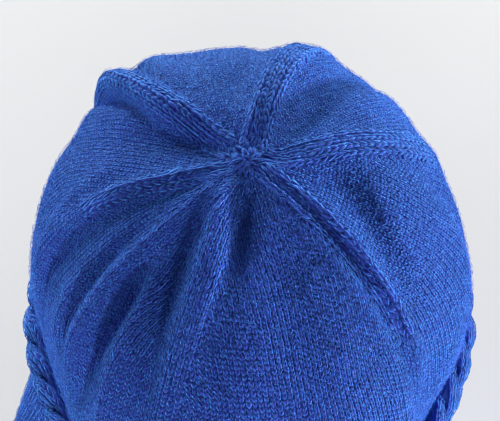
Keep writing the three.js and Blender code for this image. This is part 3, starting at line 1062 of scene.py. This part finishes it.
# Wool.
wool = {
    "colour": (0.0185, 0.0285, 0.345),
    "deepColour": (0.0115, 0.0200, 0.238),
    "surface": {"Roughness": 0.85, "Specular IOR Level": 0.25, "Sheen Weight": 1.0,
                "Sheen Roughness": 0.5, "Sheen Tint": (0.07, 0.39, 1.0, 1)},
    "fleckStrength": 0.9,
    "patchScale": 45.0,
    "deepBelow": 0.45,
    "lightAbove": 1.2,
    "fibreBump": 0.4,
    "bumpDistance": 0.0005,
}


def setSockets(inputs, values):
    for label, value in values.items():
        inputs[label].default_value = value


def objectNoise(tree, inputs):
    place = addNode(tree, "ShaderNodeTexCoord")["Object"]
    return addNode(tree, "ShaderNodeTexNoise", {"Vector": place, **inputs})[0]


# Colour of one yarn: each stitch a little lighter or darker, with flecks along the fibres.
def makeYarnColour():
    tree, source = startTree("yarnColour", "ShaderNodeTree", ("Colour", "Color"), {
        "Colour": (0.1, 0.1, 0.1, 1), "Deep Colour": (0, 0, 0, 1), "Shade": 0.5, "Shade Spread": 0.3,
        "Fleck Scale": 900.0})
    flecks = objectNoise(tree, {"Scale": source["Fleck Scale"], "Detail": 2.0, "Roughness": 0.6})
    patches = objectNoise(tree, {"Scale": wool["patchScale"], "Detail": 2.0})
    spread = maths(tree, "MULTIPLY", maths(tree, "ADD", source["Shade"], -0.5), source["Shade Spread"])
    mixed = maths(tree, "MULTIPLY_ADD", maths(tree, "ADD", flecks, patches), wool["fleckStrength"], spread)
    mask = addNode(tree, "ShaderNodeMapRange",
                   {"Value": mixed, "From Min": wool["deepBelow"], "From Max": wool["lightAbove"]})[0]
    colours = {0: mask, 6: source["Deep Colour"], 7: source["Colour"]}
    return endTree(tree, addNode(tree, "ShaderNodeMix", colours, data_type="RGBA")[2])


# Height of loose fibres and of the yarn's twist.
def makeFibreHeight():
    tree, source = startTree("fibreHeight", "ShaderNodeTree", ("Height", "Float"), {"Fibre Scale": 1500.0})
    height = {"Scale": source["Fibre Scale"], "Detail": 3.0, "Roughness": 0.7, "Distortion": 0.6}
    return endTree(tree, objectNoise(tree, height))


def makeWool(name, strength=1.0):
    material = bpy.data.materials.new(name)
    material.use_nodes = True
    tree = material.node_tree
    inputs = tree.nodes["Principled BSDF"].inputs
    setSockets(inputs, wool["surface"])
    shade = addNode(tree, "ShaderNodeAttribute", attribute_name="shade")["Fac"]
    light, deep = [(*[c * strength for c in wool[key]], 1) for key in ("colour", "deepColour")]
    colour = addNode(tree, "ShaderNodeGroup", {"Colour": light, "Deep Colour": deep, "Shade": shade},
                     node_tree=yarnColour)[0]
    height = addNode(tree, "ShaderNodeGroup", node_tree=fibreHeight)[0]
    bump = addNode(tree, "ShaderNodeBump", {"Height": height, "Strength": wool["fibreBump"],
                                            "Distance": wool["bumpDistance"]})[0]
    tree.links.new(colour, inputs["Base Color"])
    tree.links.new(bump, inputs["Normal"])
    return material


yarnColour = makeYarnColour()
fibreHeight = makeFibreHeight()
yarn = makeWool("woolYarn")
# The cloth under the stitches is painted a little darker than the yarn: painted shade in the gaps between
# stitches.
shadedClothWool = makeWool("woolCloth", 0.95)
# The loose fibres are painted lighter than the yarn: a painted highlight standing in for sheen on the fuzz.
highlitFibreWool = makeWool("woolFibre", 1.3)
print("wool ready")

# Build the pieces.
stitchTree = makeStitchTree()
fuzzTree = makeFuzzTree()
generator = np.random.default_rng(11)


def onCrown(piece):
    return declare(piece, "crown")


def onBand(piece):
    return declare(piece, "plaited_band")


crownCloth = onCrown(addObject("crown_cloth", crownClothMesh(), shadedClothWool))
crownPieces = [onCrown(layStitches("crown_gather", gatherStitches(generator)))]
print("crown cloth ready")
crownPieces.append(onCrown(layFibres("crown_fuzz", crownFuzzFace(), fuzz["density"])))

rounds = crownRounds()
for index, ridge in enumerate(ridges):
    gore = goreStitches(rounds, index, generator)
    crownPieces.append(onCrown(layStitches("crown_gore_" + ridge["name"], gore)))
    spine = ridgeStitches(rounds, index, generator)
    crownPieces.append(onCrown(layStitches("crown_ridge_" + ridge["name"], spine)))
    print("gore", ridge["name"], len(gore["shade"]), "ridge", len(spine["shade"]))

onBand(addObject("band_backing", backingMesh(), shadedClothWool))
onBand(addObject("band_strands", strandMesh(), shadedClothWool))
onBand(layFibres("band_fuzz", strandMesh(), band["fuzzDensity"]))
onBand(layStitches("band_stitches", strandStitches(generator)))
print("band ready")

for shape in flaps:
    node = shape["name"]
    flapCloth = declare(addObject(node + "_cloth", flapClothMesh(shape), shadedClothWool), node)
    knitted = layStitches(node + "_stitches", flapStitches(shape, generator), flap["yarn"])
    flapFuzz = layFibres(node + "_fuzz", flapFuzzFace(shape), flap["fuzzDensity"])
    declare(knitted, node)
    declare(flapFuzz, node)
print("flaps ready")

# Floor and light.
studio = {
    "floorLevel": -0.125,
    "floorReach": 1.45,
    "floorCorners": 96,
    "floorSurface": {"Base Color": (0.61, 0.615, 0.62, 1), "Roughness": 0.9},
    "horizonColour": (1.0, 1.0, 1.0),
    "horizonStrength": 0.3,
    "horizonTop": 0.10,  # sine of the height where the bright band starts to fade
    "zenithBottom": 0.30,
    "zenithStrength": 0.0,
    "lamps": {  # place, size and power of each
        "windowRight": ((1.50, 1.32, 0.20), 1.2, 80.0),
        "windowBack": ((-0.78, 1.84, 0.20), 1.2, 112.0),
        "windowLeft": ((-1.86, -0.73, 0.20), 1.2, 43.0),
        "ceilingFront": ((0.00, -1.80, 1.30), 1.2, 12.0),
        "ceilingRight": ((1.80, 0.00, 1.30), 1.2, 7.0),
        "lowRight": ((1.50, -0.55, -0.05), 0.14, 52.0),
        "lowFront": ((0.00, -1.60, -0.05), 0.14, 20.0),
    },
}


def addLamp(name, place, size, power):
    data = bpy.data.lights.new(name, "AREA")
    data.shape = "SQUARE"
    data.size = size
    data.energy = power
    lamp = addToScene(name, data)
    lamp.location = place
    lamp.visible_camera = False
    aim = Vector(view["target"]) - Vector(place)
    lamp.rotation_euler = aim.to_track_quat("-Z", "Y").to_euler()


def makeFloor():
    count = studio["floorCorners"]
    turn = stepsRound(count, 2 * np.pi)
    reach = studio["floorReach"] / mm
    level = np.full(count, studio["floorLevel"] / mm)
    corners = np.stack([reach * np.cos(turn), reach * np.sin(turn), level], axis=-1)
    paper = bpy.data.materials.new("floorPaper")
    paper.use_nodes = True
    setSockets(paper.node_tree.nodes["Principled BSDF"].inputs, studio["floorSurface"])
    sheet = bpy.data.meshes.new("floor")
    sheet.from_pydata((corners * mm).tolist(), [], [list(range(count))])
    addObject("floor", sheet, paper)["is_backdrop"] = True


# A bright band stands round the horizon and fades upwards.
def makeWorld():
    world = bpy.data.worlds.new("studio")
    world.use_nodes = True
    tree = world.node_tree
    place = addNode(tree, "ShaderNodeTexCoord")["Generated"]
    up = addNode(tree, "ShaderNodeSeparateXYZ", {0: place})["Z"]
    strength = addNode(tree, "ShaderNodeMapRange", {
        "Value": up, "From Min": studio["horizonTop"], "From Max": studio["zenithBottom"],
        "To Min": studio["horizonStrength"], "To Max": studio["zenithStrength"]})[0]
    background = tree.nodes["Background"]
    background.inputs["Color"].default_value = (*studio["horizonColour"], 1)
    tree.links.new(strength, background.inputs["Strength"])
    bpy.context.scene.world = world
    bpy.context.scene.view_settings.view_transform = "Standard"


makeFloor()
makeWorld()
for name, lamp in studio["lamps"].items():
    addLamp(name, *lamp)
print("studio ready")

triangles = 0
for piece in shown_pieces():
    piece.data.calc_loop_triangles()
    triangles += len(piece.data.loop_triangles)
print("triangles", triangles)
